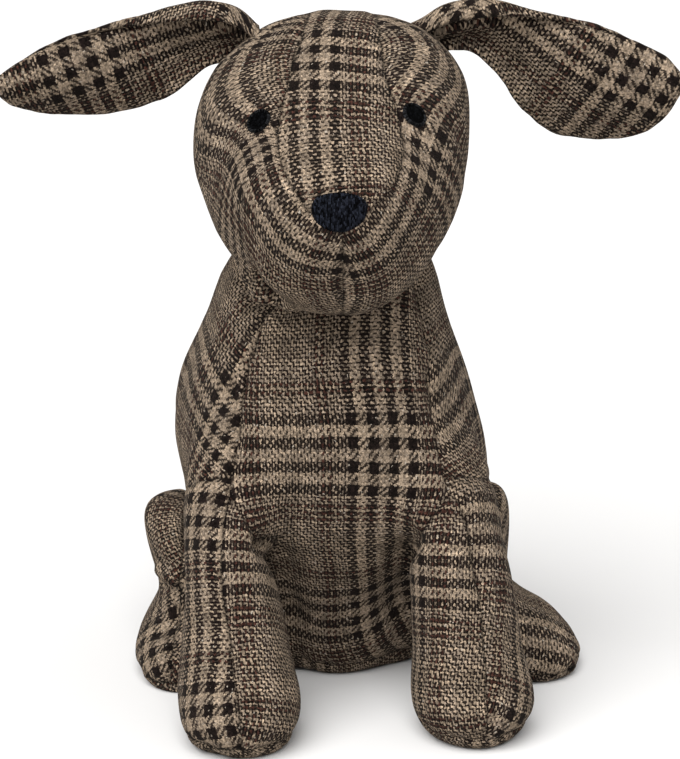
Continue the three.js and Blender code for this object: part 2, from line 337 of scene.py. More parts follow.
def sewn(table, faces, panel, depth, width, seed):
    """Pulls the skin in along its seams. The valley's depth falls off as a bell curve of the
    distance, and its pull is uneven along the seam, in short lumps and long ones."""
    points = table[:, :3]
    out = normals_of(points, faces)
    far = distance_to(points, points[np.unique(borders(faces, panel))])
    pull = 1 + lumps(points, seed, size=9, high=0.5) + lumps(points, seed + 1, size=25, high=0.35)
    sink = depth * np.clip(pull, 0.35, 1.8) * np.exp(-((far / width) ** 2))
    return points - sink[:, None] * out, far


def pressed(points, faces, troughs):
    """Presses listed dents and ridges in: rows of start, end, depth and width in mm, a bell
    curve of the distance from the line between them. A depth below nought is a ridge."""
    out = normals_of(points, faces)
    total = np.zeros(len(points))
    for row in np.array(troughs, dtype=float):
        far = to_segment(points, row[:3], row[3:6])
        total += row[6] * np.exp(-((far / row[7]) ** 2))
    return points - total[:, None] * out


def with_painted_fold_shade(points, far, folds):
    """The distance to the seams, where tight folds count as seams so that shade is painted into them
    as
    into a seam: rows of start and end in mm, and the share of the distance that counts, which is less
    where the painted fold shade is wider."""
    for row in np.array(folds, dtype=float):
        far = np.minimum(far, row[6] * to_segment(points, row[:3], row[3:6]))
    return far


def laid_flat(made):
    """Lays each panel between the seams out flat with as little stretch as it allows."""
    for other in bpy.context.selected_objects:
        other.select_set(False)
    bpy.context.view_layer.objects.active = made
    made.select_set(True)
    bpy.ops.object.mode_set(mode="EDIT")
    bpy.ops.mesh.select_all(action="SELECT")
    bpy.ops.uv.unwrap(method="MINIMUM_STRETCH", iterations=12, margin=0.001)
    bpy.ops.object.mode_set(mode="OBJECT")


def area_of(corners):
    """The faces' area from their corners in two or three dimensions."""
    a, b = corners[:, 1] - corners[:, 0], corners[:, 2] - corners[:, 0]
    if corners.shape[2] == 2:
        return np.abs(a[:, 0] * b[:, 1] - a[:, 1] * b[:, 0]) / 2
    return np.linalg.norm(np.cross(a, b), axis=1) / 2


def cut_cloth(made, points, faces, panel, layout):
    """Sets the cloth on each flat panel at its true size. The panel is turned and shifted so that
    its marks fall as near as they can on their threads, and the cloth gives a little round each of
    them by a bell curve of the distance, as it does when it is stuffed. A mark is a row of x, y and
    z in mm and the numbers of the warp and the weft thread that cross there."""
    mesh = made.data
    flat = np.empty(len(mesh.loops) * 2)
    mesh.uv_layers.active.data.foreach_get("uv", flat)
    flat = flat.reshape(-1, 3, 2)
    space = points[faces]
    for which, marks in layout.items():
        mine = panel == which
        if not mine.any():
            continue
        flat[mine] *= np.sqrt(area_of(space[mine]).sum() / area_of(flat[mine]).sum())
        corners = space[mine].reshape(-1, 3)
        laid = flat[mine].reshape(-1, 2)
        marks = np.array(marks, dtype=float)
        near = [np.argmin(((corners - at) ** 2).sum(axis=1)) for at in marks[:, :3]]
        here = laid[near] @ [1, 1j]
        there = marks[:, 3] * THREAD_ACROSS - 1j * marks[:, 4] * THREAD_ALONG
        turn = (np.conj(here - here.mean()) * (there - there.mean())).sum()
        turn /= abs(turn)
        placed = (laid @ [1, 1j] - here.mean()) * turn + there.mean()
        at = (here - here.mean()) * turn + there.mean()
        bell = np.exp(-((abs(at[:, None] - at[None]) / GIVE_REACH) ** 2))
        give = np.linalg.solve(bell + GIVE_STIFF * np.eye(len(at)), there - at)
        for mark, pull in zip(at, give):
            placed = placed + pull * np.exp(-((abs(placed - mark) / GIVE_REACH) ** 2))
        flat[mine] = np.stack([placed.real, placed.imag], axis=1).reshape(-1, 3, 2)
    mesh.uv_layers.active.data.foreach_set("uv", (flat / 1000).ravel())
    mesh.uv_layers.active.name = "cloth"


def finished(name, points, faces, panel, far, layout):
    """The skin's mesh with its seams marked, its cloth laid on it, and its distance to the seams."""
    mesh = mesh_of(name, points, faces)
    mesh.shade_smooth()
    seams = borders(faces, panel)
    edges = np.empty(len(mesh.edges) * 2, dtype=np.int64)
    mesh.edges.foreach_get("vertices", edges)
    edges = np.sort(edges.reshape(-1, 2), axis=1)
    big = len(points)
    marked = np.isin(edges[:, 0] * big + edges[:, 1], seams[:, 0] * big + seams[:, 1])
    mesh.edges.foreach_set("use_seam", marked)
    mesh.attributes.new("seam", "FLOAT", "POINT").data.foreach_set("value", far)
    mesh.uv_layers.new(name="cloth")
    made = shown(name, mesh)
    laid_flat(made)
    cut_cloth(made, points, faces, panel, layout)
    return made


def linear(colour):
    """A colour as red, green, blue and one, from its screen value in hexadecimal."""
    parts = np.array([int(colour[i:i + 2], 16) for i in (1, 3, 5)]) / 255
    parts = np.where(parts <= 0.04045, parts / 12.92, ((parts + 0.055) / 1.055) ** 2.4)
    return (*parts.tolist(), 1.0)


def add(tree, kind, inputs=None, **settings):
    """A node of a kind, with its settings, and its inputs set to values or joined to other nodes."""
    made = tree.nodes.new(kind)
    for name, value in settings.items():
        setattr(made, name, value)
    for name, value in (inputs or {}).items():
        if isinstance(value, bpy.types.Node):
            value = value.outputs[0]
        if isinstance(value, bpy.types.NodeSocket):
            tree.links.new(value, made.inputs[name])
        else:
            made.inputs[name].default_value = value
    return made


# Order of the threads, the same for warp and weft: seven broad bands of six, dark and light in
# turn, then threads one and one in fainter wide bands, where two narrow stripes hold rust ones.
# All of it is counted in threads, but for the swing, the share by which a faint band is lighter.
REPEAT = 111
BAND = 6
BROAD = 7 * BAND
RUST_STRIPES = (52, 99)
RUST_HALF_WIDTH = 4.2
FAINT_BAND = 24
FAINT_LIGHTEST = 64
FAINT_SWING = 0.13
order = bpy.data.node_groups.new("thread order", "ShaderNodeTree")
order.interface.new_socket("Thread", in_out="INPUT", socket_type="NodeSocketFloat")
for name in ("Dark", "Rust", "Glow"):
    order.interface.new_socket(name, in_out="OUTPUT", socket_type="NodeSocketFloat")
MATH = "ShaderNodeMath"
given = add(order, "NodeGroupInput")
place = add(order, MATH, {0: given, 1: float(REPEAT)}, operation="FLOORED_MODULO")
broad = add(order, MATH, {0: place, 1: BROAD - 0.5}, operation="LESS_THAN")
sixes = add(order, MATH, {0: place, 1: 2.0 * BAND}, operation="FLOORED_MODULO")
sixes = add(order, MATH, {0: sixes, 1: BAND - 0.5}, operation="LESS_THAN")
fine = add(order, MATH, {0: 1.0, 1: broad}, operation="SUBTRACT")
ones = add(order, MATH, {0: place, 1: 2.0}, operation="FLOORED_MODULO")
ones = add(order, MATH, {0: ones, 1: fine}, operation="MULTIPLY")
dark = add(order, MATH, {0: broad, 1: sixes, 2: ones}, operation="MULTIPLY_ADD")
stripes = [
    add(order, MATH, {0: place, 1: float(at), 2: RUST_HALF_WIDTH}, operation="COMPARE")
    for at in RUST_STRIPES
]
rust = add(order, MATH, {0: stripes[0], 1: stripes[1]}, operation="MAXIMUM")
fours = add(order, MATH, {0: place, 1: 4.0}, operation="FLOORED_MODULO")
fours = add(order, MATH, {0: fours, 1: 0.5}, operation="LESS_THAN")
rust = add(order, MATH, {0: rust, 1: fours}, operation="MULTIPLY")
glow = add(order, MATH, {0: place, 1: float(FAINT_LIGHTEST)}, operation="SUBTRACT")
glow = add(order, MATH, {0: glow, 1: 2 * np.pi / FAINT_BAND}, operation="MULTIPLY")
glow = add(order, MATH, {0: glow}, operation="COSINE")
glow = add(order, MATH, {0: glow, 1: fine}, operation="MULTIPLY")
glow = add(order, MATH, {0: glow, 1: FAINT_SWING, 2: 1.0}, operation="MULTIPLY_ADD")
add(order, "NodeGroupOutput", {0: dark, 1: rust, 2: glow})

# Glen check wool in a two-and-two twill. The eye gets bands of dark and light squares that break
# into fine check, slanting twill lines, flecked heathered yarn, a soft woolly bloom, and shade
# painted into the seams and tight folds.
LIGHT_YARN = "#837361"
LIGHT_YARN_DULL = "#695d51"
DARK_YARN = "#0c0807"
DARK_YARN_PALE = "#16100e"
RUST_YARN = "#35211b"
NEP = "#9b9184"
BLOOM = "#d9cfc2"
# The share of the thread below that shows between the fibres of the one on top, where the one
# below is light and where it is dark.
LIGHT_SHOWS = 0.08
DARK_SHOWS = 0.15
# Size in mm of a thread's lazy bends and of its fuzz, and how many threads' width they shift it.
# Real fuzz is too fine to show, so it is drawn a little coarser than a thread.
BEND_SIZE = 5.263
BEND = 2.0
FUZZ_SIZE = 0.9091
FUZZ = 1.9
# Height of the relief, and how far the painted shade and the valley of a seam reach, in mm.
RELIEF = 0.14
SHADE_REACH = 1.1
VALLEY_REACH = 1.4
check = bpy.data.materials.new("glen check wool")
check.use_nodes = True
tree = check.node_tree
tree.nodes.clear()
lay = add(tree, "ShaderNodeUVMap", uv_map="cloth")
bend = add(tree, "ShaderNodeTexNoise", {"Vector": lay, "Scale": 1000 / BEND_SIZE, "Detail": 1.0})
fuzz = add(tree, "ShaderNodeTexNoise", {"Vector": lay, "Scale": 1000 / FUZZ_SIZE, "Detail": 1.0})
bend = add(tree, "ShaderNodeSeparateXYZ", {0: bend.outputs["Color"]})
fuzz = add(tree, "ShaderNodeSeparateXYZ", {0: fuzz.outputs["Color"]})
lay = add(tree, "ShaderNodeSeparateXYZ", {0: lay})
threads = []
for axis, in_a_metre in ((0, 1000 / THREAD_ACROSS), (1, -1000 / THREAD_ALONG)):
    thread = add(tree, MATH, {0: lay.outputs[axis], 1: in_a_metre}, operation="MULTIPLY")
    for noise, shift in ((bend, BEND), (fuzz, FUZZ)):
        thread = add(tree, MATH, {0: noise.outputs[axis], 1: shift, 2: thread},
                     operation="MULTIPLY_ADD")
    number = add(tree, MATH, {0: thread}, operation="FLOOR")
    part = add(tree, MATH, {0: thread}, operation="FRACT")
    kind = add(tree, "ShaderNodeGroup", node_tree=order)
    tree.links.new(number.outputs[0], kind.inputs[0])
    threads.append((thread, number, part, kind.outputs))
(warp, warp_number, warp_part, warp_kind), (weft, weft_number, weft_part, weft_kind) = threads
twill = add(tree, MATH, {0: warp_number, 1: weft_number}, operation="ADD")
twill = add(tree, MATH, {0: twill, 1: 4.0}, operation="FLOORED_MODULO")
warp_up = add(tree, MATH, {0: twill, 1: 1.5}, operation="LESS_THAN")
MIX = "ShaderNodeMix"
dark = add(tree, MIX, {0: warp_up, 2: weft_kind["Dark"], 3: warp_kind["Dark"]})
below = add(tree, MIX, {0: warp_up, 2: warp_kind["Dark"], 3: weft_kind["Dark"]})
dark = add(tree, MIX, {0: LIGHT_SHOWS, 2: dark, 3: below})
below = add(tree, MATH, {0: below, 1: DARK_SHOWS}, operation="MULTIPLY")
dark = add(tree, MATH, {0: dark, 1: below}, operation="MAXIMUM")
rust = add(tree, MIX, {0: warp_up, 2: weft_kind["Rust"], 3: warp_kind["Rust"]})
number = add(tree, MIX, {0: warp_up, 2: weft_number, 3: warp_number})
yarn = add(tree, "ShaderNodeTexWhiteNoise", {"W": number}, noise_dimensions="1D")
light = add(tree, MIX, {0: yarn, 6: linear(LIGHT_YARN_DULL), 7: linear(LIGHT_YARN)}, data_type="RGBA")
deep = add(tree, MIX, {0: yarn, 6: linear(DARK_YARN), 7: linear(DARK_YARN_PALE)}, data_type="RGBA")
tint = add(tree, MIX, {0: dark, 6: light.outputs[2], 7: deep.outputs[2]}, data_type="RGBA")
tint = add(tree, MIX, {0: rust, 6: tint.outputs[2], 7: linear(RUST_YARN)}, data_type="RGBA")
# Heathering: the dye takes unevenly from one crossing, one bundle of fibres and one finger's
# breadth to the next, and the faint wide bands swing lighter and darker.
spot = add(tree, "ShaderNodeCombineXYZ", {0: warp, 1: weft})
fleck = add(tree, "ShaderNodeTexNoise", {"Vector": spot, "Scale": 0.95, "Detail": 2.0})
cloud = add(tree, "ShaderNodeTexNoise", {"Vector": spot, "Scale": 0.06, "Detail": 2.0})
crossing = add(tree, "ShaderNodeCombineXYZ", {0: warp_number, 1: weft_number})
crossing = add(tree, "ShaderNodeTexWhiteNoise", {"Vector": crossing}, noise_dimensions="2D")
worn = add(tree, "ShaderNodeMapRange", {0: fleck, 1: 0.3, 2: 0.7, 3: 0.4, 4: 1.6})
clouded = add(tree, "ShaderNodeMapRange", {0: cloud, 1: 0.3, 2: 0.7, 3: 0.9, 4: 1.1})
crossing = add(tree, "ShaderNodeMapRange", {0: crossing, 1: 0.0, 2: 1.0, 3: 0.55, 4: 1.45})
for more in (clouded, crossing, warp_kind["Glow"], weft_kind["Glow"]):
    worn = add(tree, MATH, {0: worn, 1: more}, operation="MULTIPLY")
tint = add(tree, "ShaderNodeVectorMath", {0: tint.outputs[2], "Scale": worn}, operation="SCALE")
# Neps: small pale knots of fibre on the face of the cloth.
nep = add(tree, "ShaderNodeTexNoise", {"Vector": spot, "Scale": 0.6, "Detail": 0.0})
nep = add(tree, "ShaderNodeMapRange", {0: nep, 1: 0.765, 2: 0.8, 3: 0.0, 4: 0.8})
tint = add(tree, MIX, {0: nep, 6: tint.outputs[0], 7: linear(NEP)}, data_type="RGBA")
# Shade is painted dark into the turned-in seams and the tight folds counted with them, the seam is a
# sharp valley, and each thread is round across its width.
seam = add(tree, "ShaderNodeAttribute", attribute_name="seam").outputs["Fac"]
painted_seam_shade = add(tree, "ShaderNodeMapRange", {0: seam, 1: 0.0, 2: SHADE_REACH, 3: 0.35, 4: 1.0})
tint = add(tree, "ShaderNodeVectorMath", {0: tint.outputs[2], "Scale": painted_seam_shade}, operation="SCALE")
valley = add(tree, "ShaderNodeMapRange", {0: seam, 1: 0.0, 2: VALLEY_REACH, 3: -5.0, 4: 0.0})
part = add(tree, MIX, {0: warp_up, 2: weft_part, 3: warp_part})
part = add(tree, MATH, {0: part, 1: np.pi}, operation="MULTIPLY")
height = add(tree, MATH, {0: part}, operation="SINE")
height = add(tree, MATH, {0: height, 1: valley}, operation="ADD")
height = add(tree, MATH, {0: fleck, 1: 1.2, 2: height}, operation="MULTIPLY_ADD")
raised = {"Strength": 0.8, "Distance": RELIEF / 1000, "Height": height}
shader = add(tree, "ShaderNodeBsdfPrincipled", {
    "Base Color": tint, "Roughness": 0.95, "Normal": add(tree, "ShaderNodeBump", raised),
    "Specular IOR Level": 0.02, "Sheen Weight": 0.03, "Sheen Roughness": 0.6,
    "Sheen Tint": linear(BLOOM),
})
add(tree, "ShaderNodeOutputMaterial", {0: shader})

# The skin over the three solids is blown up by its filling, cut along the seams and pulled in.
body = one_skin("body_skin", ["torso", "front_leg_left", "front_leg_right"], grow=0.4)
eased(body, rounds=3)
points, _ = surface_of(body.data)
filled(body, held=points[:, 2] < 9, cap=4.0)
points, faces = taken(finer(body))
points[:, 2] = np.maximum(points[:, 2], 0)
to_torso = away_from(points, "torso")
to_left = away_from(points, "front_leg_left")
to_right = away_from(points, "front_leg_right")
x, y, z = points.T
left_inner = np.interp(x, *INNER_SEAM_LEFT.T) - z
right_inner = np.interp(x, *INNER_SEAM_RIGHT.T) - z
levels = [
    x - np.interp(z, *CHEST_SEAM_LEFT.T), x - np.interp(z, *CHEST_SEAM_RIGHT.T), y - SIDE_STARTS_Y,
    x, np.minimum(to_torso - to_left, left_inner), np.minimum(to_torso - to_right, right_inner),
    to_torso - to_left, to_torso - to_right, z - SOLE_Z,
    np.interp(y, *LEG_TOP_LEFT.T) - z, np.interp(y, *LEG_TOP_RIGHT.T) - z,
]
table = np.column_stack([points, *levels])
SEAM_LEFT, SEAM_RIGHT, SIDE, BACK, INNER_LEFT, INNER_RIGHT, LEG_LEFT, LEG_RIGHT = range(3, 11)
SOLE, TOP_LEFT, TOP_RIGHT = range(11, 14)
for level, zone in (
    (SEAM_LEFT, lambda m: (m[:, 1] < CHEST_BACK_Y) & (abs(m[:, 0] + 32) < 30)),
    (SEAM_RIGHT, lambda m: (m[:, 1] < CHEST_BACK_Y) & (abs(m[:, 0] - 42) < 34)),
    (SIDE, lambda m: m[:, 2] > -1),
    (BACK, lambda m: m[:, SIDE] > 0),
    (INNER_LEFT, lambda m: (m[:, SEAM_LEFT] > 0) & (m[:, 0] < BETWEEN_LEGS_X)),
    (INNER_RIGHT, lambda m: (m[:, SEAM_RIGHT] < 0) & (m[:, 0] > BETWEEN_LEGS_X)),
    (LEG_LEFT, lambda m: (m[:, 2] < LEG_SEAM_TOP) & (m[:, SEAM_LEFT] < 0)),
    (LEG_RIGHT, lambda m: (m[:, 2] < LEG_SEAM_TOP) & (m[:, SEAM_RIGHT] > 0)),
    (TOP_LEFT, lambda m: (m[:, LEG_LEFT] > 0) & (m[:, SEAM_LEFT] < 0)),
    (TOP_RIGHT, lambda m: (m[:, LEG_RIGHT] > 0) & (m[:, SEAM_RIGHT] > 0)),
    (SOLE, lambda m: m[:, 2] > -1),
):
    table, faces = cut_along(table, faces, level, zone(mean_of(table, faces)))
middle = mean_of(table, faces)
FRONT, SIDE_LEFT, SIDE_RIGHT, LEG_OUT_LEFT, LEG_OUT_RIGHT, LEG_IN_LEFT, LEG_IN_RIGHT = range(7)
BASE, FOOT_LEFT, FOOT_RIGHT = range(7, 10)
ahead = middle[:, SIDE] < 0
panel = np.where(ahead, FRONT, np.where(middle[:, BACK] < 0, SIDE_LEFT, SIDE_RIGHT))
panel[ahead & (middle[:, SEAM_LEFT] < 0)] = SIDE_LEFT
panel[ahead & (middle[:, SEAM_RIGHT] > 0)] = SIDE_RIGHT
panel[(panel == SIDE_LEFT) & (middle[:, LEG_LEFT] > 0) & (middle[:, TOP_LEFT] > 0)] = LEG_OUT_LEFT
panel[(panel == SIDE_RIGHT) & (middle[:, LEG_RIGHT] > 0) & (middle[:, TOP_RIGHT] > 0)] = LEG_OUT_RIGHT
inner = (panel == FRONT) & (middle[:, 0] < BETWEEN_LEGS_X) & (middle[:, INNER_LEFT] > 0)
panel[inner] = LEG_IN_LEFT
inner = (panel == FRONT) & (middle[:, 0] > BETWEEN_LEGS_X) & (middle[:, INNER_RIGHT] > 0)
panel[inner] = LEG_IN_RIGHT
under = middle[:, SOLE] < 0
panel[under] = BASE
panel[under & (middle[:, LEG_LEFT] > 0)] = FOOT_LEFT
panel[under & (middle[:, LEG_RIGHT] > 0)] = FOOT_RIGHT
points, far = sewn(table, faces, panel, depth=1.1, width=3.2, seed=4)
points += lumps(points, 11, size=34, high=0.45)[:, None] * normals_of(points, faces)
# Hollows at the tops of the legs, between the legs and the belly and under the chin, and small
# creases across the legs.
points = pressed(points, faces, [
    (-27, -93, 74, -23, -78, 62, 5, 5),
    (28, -90, 74, 27, -76, 63, 5, 5),
    (-22, -70, 57, -18, -54, 30, 4.5, 8),
    (-18, -54, 30, -16, -38, 2, 4, 8),
    (26, -69, 57, 26, -50, 32, 3.5, 9),
    (26, -50, 32, 29, -33, 4, 3, 9),
    (-34, -60, 166, -26, -68, 163, 3, 4),
    (-26, -68, 163, -18, -74, 159, 3, 4),
    (-38, -109, 58, -33, -109, 54, 0.7, 1.8),
    (-37, -115, 45, -31, -115, 41, 0.6, 1.8),
    (-39, -120, 35, -35, -122, 31, 0.6, 1.8),
    (39, -106, 56, 47, -109, 53, 0.6, 1.8),
    (42, -112, 42, 50, -112, 41, 0.6, 1.8),
    (54, -114, 36, 61, -111, 36, 0.7, 1.8),
    (-44, -93, 83, -38, -93, 81, 0.7, 2),
    (47, -92, 84, 53, -90, 82, 0.7, 2),
])
points[:, 2] = np.maximum(points[:, 2], 0)
# Painted shade along the creases between the front legs and the belly, where they are pressed
# together.
far = with_painted_fold_shade(points, far, [
    (-28, -85, 73, -25, -74, 61, 0.4), (-25, -74, 61, -24, -61, 51, 0.5),
    (29, -71, 65, 25, -63, 54, 0.4), (25, -63, 54, 24, -56, 45, 0.5),
])
body = finished("body_skin", points, faces, panel, far, {
    FRONT: [
        (8, -87, 109, 3, 16), (31, -79, 107, 39, 16), (20, -83, 118, 21, 3), (20, -84, 91, 21, 39),
        (-13, -87, 110, -32, 15), (-13, -86, 91, -32, 39), (1, -61, 43, -9, 114),
        (1, -48, 18, -9, 150), (8, -78, 152, 9, -40), (9, -83, 135, 9, -17),
        (16, -76, 151, 21, -40), (24, -72, 150, 33, -40), (25, -77, 134, 33, -17),
    ],
    SIDE_LEFT: [
        (-35, -77, 127, 15, 3), (-40, -75, 120, 15, 15), (-46, -69, 122, 3, 15),
        (-42, -70, 132, 3, 3), (-40, -76, 115, 21, 21), (-46, -70, 118, 9, 21),
        (-39, -78, 109, 27, 27), (-46, -78, 106, 15, 39), (-42, -83, 103, 27, 39),
        (-50, -50, 141, -25, 3), (-55, -43, 131, -32, 21),
    ],
    SIDE_RIGHT: [
        (38, -66, 126, -45, 9), (45, -44, 134, -19, 9), (39, -69, 118, -45, 21),
        (44, -60, 119, -34, 21), (50, -39, 124, -15, 21), (41, -73, 110, -39, 33),
        (48, -58, 111, -26, 33), (51, -45, 113, -16, 33),
    ],
    LEG_OUT_LEFT: [
        (-42, -91, 89, 27, 15), (-49, -88, 89, 15, 15), (-45, -101, 74, 27, 39),
        (-52, -96, 74, 15, 39), (-47, -107, 57, 21, 66), (-53, -101, 54, 9, 66),
        (-40, -118, 39, 33, 94), (-46, -129, 19, 27, 126), (-52, -126, 17, 15, 126),
    ],
    LEG_OUT_RIGHT: [
        (55, -85, 89, -30, 3), (55, -102, 66, -30, 39), (51, -97, 78, -36, 21),
        (61, -86, 78, -18, 21),
    ],
    LEG_IN_LEFT: [(-34, -96, 81, 52, 3), (-34, -100, 75, 52, 15), (-34, -107, 59, 52, 39)],
    LEG_IN_RIGHT: [(40, -100, 73, 52, 9), (40, -104, 61, 52, 27), (39, -106, 55, 52, 39)],
    BASE: [(-20, -20, 0, 0, 0), (20, -20, 0, 86, 0)],
    FOOT_LEFT: [(-50, -100, 0, 0, 0), (-40, -100, 0, 21, 0)],
    FOOT_RIGHT: [(50, -100, 0, 0, 0), (60, -100, 0, 21, 0)],
})
body.data.materials.append(check)
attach(body, "root")
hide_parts("torso", "front_leg_left", "front_leg_right")

# Head
# Two side panels with a long gusset between them, from the nose over the crown to the neck. Below
# the nose the side panels meet in one seam down the chin.

# Turn round the middle of the head in degrees, from straight ahead upwards, and x of the gusset.
GUSSET_LEFT = np.array([
    [-6, -6], [-2.6, -9], [0.2, -12.2], [3.5, -15.5], [7.9, -18.8], [13.1, -20.7], [20, -21.2],
    [26.9, -19.8], [35.9, -17.3], [46.9, -15.6], [58.5, -12.7], [79.4, -9.6], [130, -11], [220, -12],
])
GUSSET_RIGHT = np.array([
    [-6, 9], [-2.1, 12.3], [1.4, 18.8], [4.7, 22.8], [9.2, 24.7], [14.8, 25.5], [21.2, 24.5],
    [26.8, 22.7], [32.8, 20.9], [39, 19.5], [48.6, 18.1], [58, 17.1], [74.2, 15.8], [130, 15],
    [220, 13],
])
HEAD_MIDDLE_Y, HEAD_MIDDLE_Z = -40, 212
# Where the count of degrees starts, where the gusset ends at the nose, x between its two seams,
# x of the chin seam, and y in front of which the face lies.
TURN_STARTS = -110
GUSSET_FOOT = -2.5
GUSSET_MIDDLE_X = 4
CHIN_SEAM_X = 3.2
FACE_Y = -60
head = one_skin("head_skin", ["head"], grow=0)
eased(head, rounds=3)
filled(head, held=np.zeros(len(head.data.vertices), dtype=bool), cap=4.0)
points, faces = taken(finer(head))
x, y, z = points.T
turn = np.degrees(np.arctan2(z - HEAD_MIDDLE_Z, HEAD_MIDDLE_Y - y))
turn = np.where(turn < TURN_STARTS, turn + 360, turn)
table = np.column_stack([
    points, x - np.interp(turn, *GUSSET_LEFT.T), x - np.interp(turn, *GUSSET_RIGHT.T),
    turn - GUSSET_FOOT, x - CHIN_SEAM_X, turn,
])
LEFT, RIGHT, FOOT, CHIN, TURN = range(3, 8)
for level, zone in (
    (LEFT, lambda m, whole: whole & (m[:, FOOT] > -4) & (m[:, 0] < GUSSET_MIDDLE_X)),
    (RIGHT, lambda m, whole: whole & (m[:, FOOT] > -4) & (m[:, 0] > GUSSET_MIDDLE_X)),
    (FOOT, lambda m, whole: whole & (m[:, LEFT] > 0) & (m[:, RIGHT] < 0) & (m[:, 1] < FACE_Y)),
    (CHIN, lambda m, whole: ~whole | (m[:, FOOT] < 0)),
):
    # A face is whole unless it lies at the back, where the turn jumps by a full round.
    reach = table[faces][:, :, TURN]
    whole = reach.max(axis=1) - reach.min(axis=1) < 90
    table, faces = cut_along(table, faces, level, zone(mean_of(table, faces), whole))
middle = mean_of(table, faces)
GUSSET, CHEEK_LEFT, CHEEK_RIGHT = range(3)
panel = np.where(middle[:, CHIN] < 0, CHEEK_LEFT, CHEEK_RIGHT)
over = middle[:, FOOT] > 0
panel[over & (middle[:, LEFT] < 0)] = CHEEK_LEFT
panel[over & (middle[:, RIGHT] > 0)] = CHEEK_RIGHT
panel[over & (middle[:, LEFT] > 0) & (middle[:, RIGHT] < 0)] = GUSSET
points, far = sewn(table, faces, panel, depth=0.7, width=2.6, seed=24)
points += lumps(points, 31, size=30, high=0.45)[:, None] * normals_of(points, faces)
# The tuck at the left of the chin, with its lips.
points = pressed(points, faces, [
    (-28, -103, 179.5, -21, -98, 170, 8.5, 2.8),
    (-33, -92, 176, -27, -93, 170, -3.5, 4.5),
    (-27, -93, 170, -18, -95, 166, -3.5, 4.5),
    (-24, -109, 182, -17, -112, 176, -1.5, 4.5),
])
# Painted shade in the tuck at the left of the chin.
far = with_painted_fold_shade(points, far, [(-26.3, -97.4, 175.5, -20.5, -95, 167.5, 0.4)])
head = finished("head_skin", points, faces, panel, far, {
    GUSSET: [
        (-10, -79, 256, 21, 21), (-2, -86, 250, 33, 33), (-18, -83, 249, 9, 33),
        (-14, -87, 247, 15, 39), (-6, -76, 259, 27, 15), (-10, -106, 231, 21, 66),
        (-18, -103, 230, 9, 66), (-2, -107, 231, 33, 66), (-8, -122, 218, 21, 90),
    ],
    CHEEK_LEFT: [
        (-24, -100, 230, 21, 9), (-30, -101, 224, 19, 21), (-21, -107, 226, 33, 9),
        (-26, -107, 221, 33, 21), (-35, -99, 219, 14, 33), (-32, -105, 215, 30, 33),
        (-34, -93, 228, 2, 21), (-41, -83, 230, -14, 21), (-49, -66, 233, -36, 21),
        (-42, -89, 220, -4, 33), (-50, -71, 222, -26, 33), (-39, -97, 210, 2, 44),
        (-43, -90, 212, -6, 44), (-49, -76, 214, -22, 44), (-19, -116, 219, 48, 9),
        (-12, -125, 209, 72, 9), (-4, -128, 202, 92, 9), (-24, -116, 212, 51, 21),
        (-17, -123, 203, 73, 21), (-5, -126, 194, 98, 21),
    ],
    CHEEK_RIGHT: [
        (25, -87, 244, 46, 9), (29, -81, 248, 57, 9), (38, -69, 253, 75, 9),
        (33, -86, 240, 46, 21), (43, -69, 246, 68, 21), (39, -84, 234, 44, 33),
        (47, -67, 239, 64, 33), (34, -99, 223, 21, 33), (32, -110, 211, -4, 33),
        (23, -120, 196, -35, 33), (5, -123, 185, -73, 33), (25, -118, 210, -15, 21),
        (21, -122, 207, -24, 21), (15, -126, 199, -42, 21), (7, -126, 193, -59, 21),
    ],
})
head.data.materials.append(check)
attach(head, "root")
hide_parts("head")

# Hind legs
# Small stuffed legs sewn to the sides of the body. Each is two panels and a sole, and the left one
# is creased where it is caught between the thigh and the foot.

